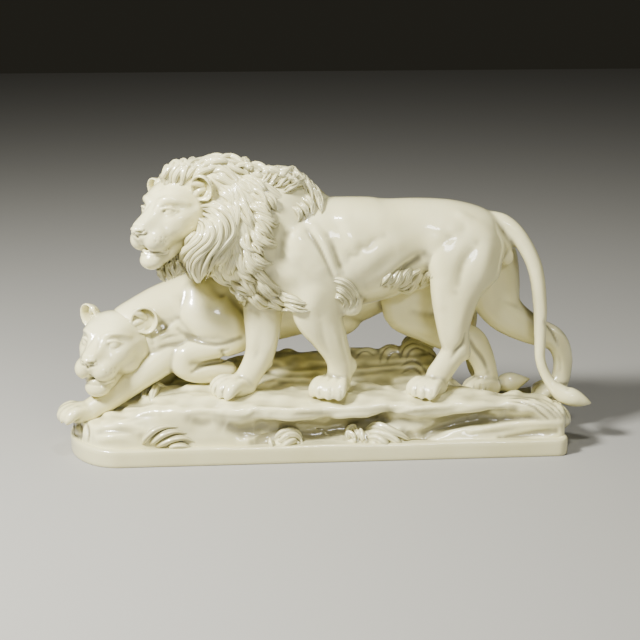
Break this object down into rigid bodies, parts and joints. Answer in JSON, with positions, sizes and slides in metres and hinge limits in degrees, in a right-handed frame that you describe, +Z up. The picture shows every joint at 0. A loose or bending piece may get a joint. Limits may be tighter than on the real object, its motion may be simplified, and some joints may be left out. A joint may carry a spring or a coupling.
{
  "type": "porcelain lion and lioness group",
  "caption": "Glazed porcelain figure group: a walking lion with a lioness stalking beside him on a rocky base with a plinth edge.",
  "frame": {"origin": "middle of the flat underside of the plinth", "axes": "+Z up; -X the way both animals face, along the length of the base; -Y the front, the lion's left side"},
  "size_m": [0.4283, 0.1223, 0.2396],
  "materials": {
    "ivory_glaze": "glossy ivory glaze"
  },
  "bodies": {
    "root": {"lion_group": "ivory_glaze"}
  },
  "joints": []
}
